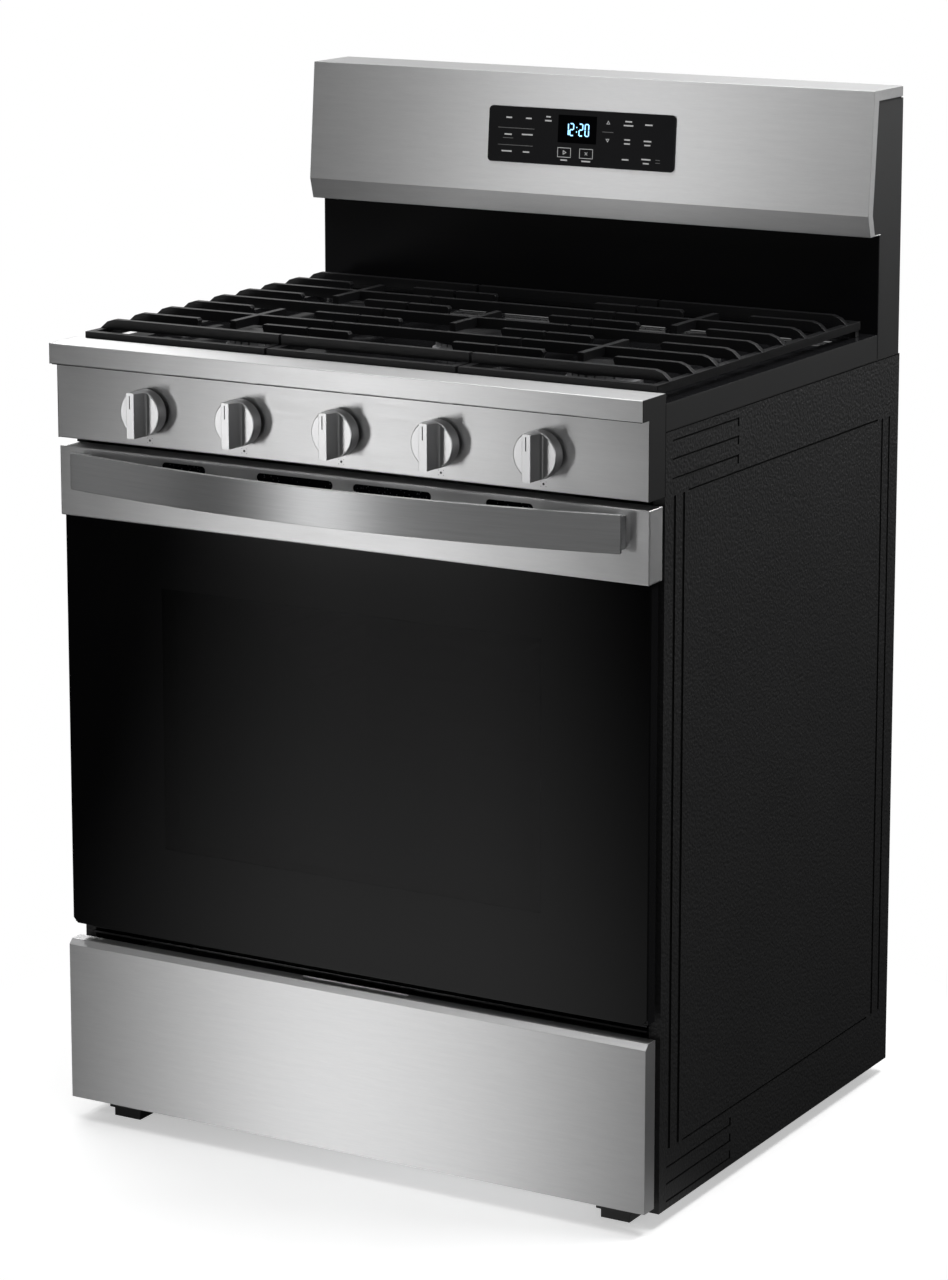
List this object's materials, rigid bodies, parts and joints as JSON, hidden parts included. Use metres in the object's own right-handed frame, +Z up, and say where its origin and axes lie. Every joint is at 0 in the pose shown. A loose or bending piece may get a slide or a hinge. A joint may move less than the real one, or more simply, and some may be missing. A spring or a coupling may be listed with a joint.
{
  "type": "freestanding gas range",
  "caption": "Freestanding gas range with stainless fronts, cast-iron grates, a bowed-handle oven door, turning knobs, a storage drawer and a backguard with a clock.",
  "frame": {"origin": "on the floor, under the middle of the overall box", "axes": "+Z up, the door faces -Y, +X to the right of someone facing the door"},
  "size_m": [0.756, 0.685, 1.196],
  "materials": {
    "stainless": "horizontally brushed stainless steel",
    "handle_steel": "finely brushed stainless steel",
    "knob_satin": "satin silver",
    "side_paint": "black pebble-textured paint",
    "black_enamel": "semi-gloss black enamel",
    "cooktop_enamel": "gloss black porcelain enamel",
    "oven_enamel": "speckled dark grey-blue porcelain enamel",
    "cast_iron": "matte black enamelled cast iron",
    "door_glass": "black ceramic-printed tempered glass",
    "clear_glass": "clear tempered glass",
    "display_glass": "gloss black glass",
    "galvanised": "galvanised steel",
    "wire_chrome": "nickel-plated wire",
    "brass": "machined brass",
    "burner_alloy": "cast aluminium",
    "ceramic": "white alumina ceramic",
    "wool": "mineral wool",
    "rope": "woven glass-fibre rope",
    "foot_plastic": "black moulded plastic",
    "screw_steel": "zinc-plated steel",
    "lamp_glass": "frosted lamp lens"
  },
  "bodies": {
    "range_body": {"side_panel_left": "side_paint", "side_panel_right": "side_paint", "base_frame": "galvanised", "back_panel": "galvanised", "front_frame": "black_enamel", "oven_liner": "oven_enamel", "insulation_blanket": "wool", "oven_floor_panel": "oven_enamel", "oven_burners": "wire_chrome", "oven_lamp": "lamp_glass", "temperature_sensor": "wire_chrome", "fan_cover": "oven_enamel", "fan_motor": "galvanised", "door_gasket": "rope", "cooktop": "cooktop_enamel", "control_panel": "stainless", "panel_end_caps": "black_enamel", "gas_manifold": "galvanised", "gas_valves": "brass", "pressure_regulator": "burner_alloy", "burner_tubes": "burner_alloy", "burner_heads": "burner_alloy", "burner_caps": "cast_iron", "igniters": "ceramic", "backguard_housing": "side_paint", "backguard_face": "stainless", "backguard_splash": "black_enamel", "display_glass": "display_glass", "drawer_rails": "galvanised", "rear_screws": "screw_steel"},
    "door": {"door_band": "stainless", "door_shell": "black_enamel", "door_glass_outer": "door_glass", "door_liner": "oven_enamel", "door_glass_inner": "clear_glass", "door_handle": "handle_steel", "handle_posts": "handle_steel", "door_hinge_arms": "galvanised"},
    "drawer": {"drawer_front": "stainless", "drawer_box": "galvanised"},
    "rack_upper": {"rack_upper": "wire_chrome"},
    "rack_lower": {"rack_lower": "wire_chrome"},
    "convection_fan": {"convection_fan": "burner_alloy"},
    "grate_left": {"grate_left": "cast_iron"},
    "grate_centre": {"grate_centre": "cast_iron"},
    "grate_right": {"grate_right": "cast_iron"},
    "stem_1": {"stem_1": "brass"},
    "knob_1": {"knob_1": "knob_satin"},
    "stem_2": {"stem_2": "brass"},
    "knob_2": {"knob_2": "knob_satin"},
    "stem_3": {"stem_3": "brass"},
    "knob_3": {"knob_3": "knob_satin"},
    "stem_4": {"stem_4": "brass"},
    "knob_4": {"knob_4": "knob_satin"},
    "stem_5": {"stem_5": "brass"},
    "knob_5": {"knob_5": "knob_satin"},
    "foot_front_left": {"foot_front_left": "foot_plastic"},
    "foot_front_right": {"foot_front_right": "foot_plastic"},
    "foot_rear_left": {"foot_rear_left": "foot_plastic"},
    "foot_rear_right": {"foot_rear_right": "foot_plastic"}
  },
  "joints": [
    {"name": "door_hinge", "type": "hinge", "parent": "range_body", "child": "door", "pos_m": [0, -0.269, 0.2505], "axis": [1, 0, 0], "range_deg": [0, 90], "stiffness_Nm_per_rad": 15, "springref_deg": -12.03},
    {"name": "drawer_slide", "type": "slide", "parent": "range_body", "child": "drawer", "axis": [0, -1, 0], "range_m": [0, 0.4]},
    {"name": "rack_upper_slide", "type": "slide", "parent": "range_body", "child": "rack_upper", "axis": [0, -1, 0], "range_m": [0, 0.05]},
    {"name": "rack_lower_slide", "type": "slide", "parent": "range_body", "child": "rack_lower", "axis": [0, -1, 0], "range_m": [0, 0.05]},
    {"name": "fan_spin", "type": "hinge", "parent": "range_body", "child": "convection_fan", "pos_m": [0, 0.2, 0.53], "axis": [0, 1, 0], "continuous": true},
    {"name": "grate_left_lift", "type": "slide", "parent": "range_body", "child": "grate_left", "axis": [0, 0, 1], "range_m": [0, 0.07]},
    {"name": "grate_centre_lift", "type": "slide", "parent": "range_body", "child": "grate_centre", "axis": [0, 0, 1], "range_m": [0, 0.07]},
    {"name": "grate_right_lift", "type": "slide", "parent": "range_body", "child": "grate_right", "axis": [0, 0, 1], "range_m": [0, 0.07]},
    {"name": "knob_1_turn", "type": "hinge", "parent": "range_body", "child": "stem_1", "pos_m": [-0.252, -0.289, 0.854], "axis": [0, -1, 0], "range_deg": [0, 270]},
    {"name": "knob_1_push", "type": "slide", "parent": "stem_1", "child": "knob_1", "axis": [0, 1, 0], "range_m": [0, 0.003], "stiffness_N_per_m": 400, "springref_m": -0.002},
    {"name": "knob_2_turn", "type": "hinge", "parent": "range_body", "child": "stem_2", "pos_m": [-0.126, -0.289, 0.854], "axis": [0, -1, 0], "range_deg": [0, 270]},
    {"name": "knob_2_push", "type": "slide", "parent": "stem_2", "child": "knob_2", "axis": [0, 1, 0], "range_m": [0, 0.003], "stiffness_N_per_m": 400, "springref_m": -0.002},
    {"name": "knob_3_turn", "type": "hinge", "parent": "range_body", "child": "stem_3", "pos_m": [0, -0.289, 0.854], "axis": [0, -1, 0], "range_deg": [0, 270]},
    {"name": "knob_3_push", "type": "slide", "parent": "stem_3", "child": "knob_3", "axis": [0, 1, 0], "range_m": [0, 0.003], "stiffness_N_per_m": 400, "springref_m": -0.002},
    {"name": "knob_4_turn", "type": "hinge", "parent": "range_body", "child": "stem_4", "pos_m": [0.126, -0.289, 0.854], "axis": [0, -1, 0], "range_deg": [0, 270]},
    {"name": "knob_4_push", "type": "slide", "parent": "stem_4", "child": "knob_4", "axis": [0, 1, 0], "range_m": [0, 0.003], "stiffness_N_per_m": 400, "springref_m": -0.002},
    {"name": "knob_5_turn", "type": "hinge", "parent": "range_body", "child": "stem_5", "pos_m": [0.252, -0.289, 0.854], "axis": [0, -1, 0], "range_deg": [0, 270]},
    {"name": "knob_5_push", "type": "slide", "parent": "stem_5", "child": "knob_5", "axis": [0, 1, 0], "range_m": [0, 0.003], "stiffness_N_per_m": 400, "springref_m": -0.002},
    {"name": "foot_front_left_screw", "type": "hinge", "parent": "range_body", "child": "foot_front_left", "pos_m": [-0.324, -0.234, 0], "axis": [0, 0, 1], "continuous": true},
    {"name": "foot_front_right_screw", "type": "hinge", "parent": "range_body", "child": "foot_front_right", "pos_m": [0.324, -0.234, 0], "axis": [0, 0, 1], "continuous": true},
    {"name": "foot_rear_left_screw", "type": "hinge", "parent": "range_body", "child": "foot_rear_left", "pos_m": [-0.324, 0.3105, 0], "axis": [0, 0, 1], "continuous": true},
    {"name": "foot_rear_right_screw", "type": "hinge", "parent": "range_body", "child": "foot_rear_right", "pos_m": [0.324, 0.3105, 0], "axis": [0, 0, 1], "continuous": true}
  ]
}
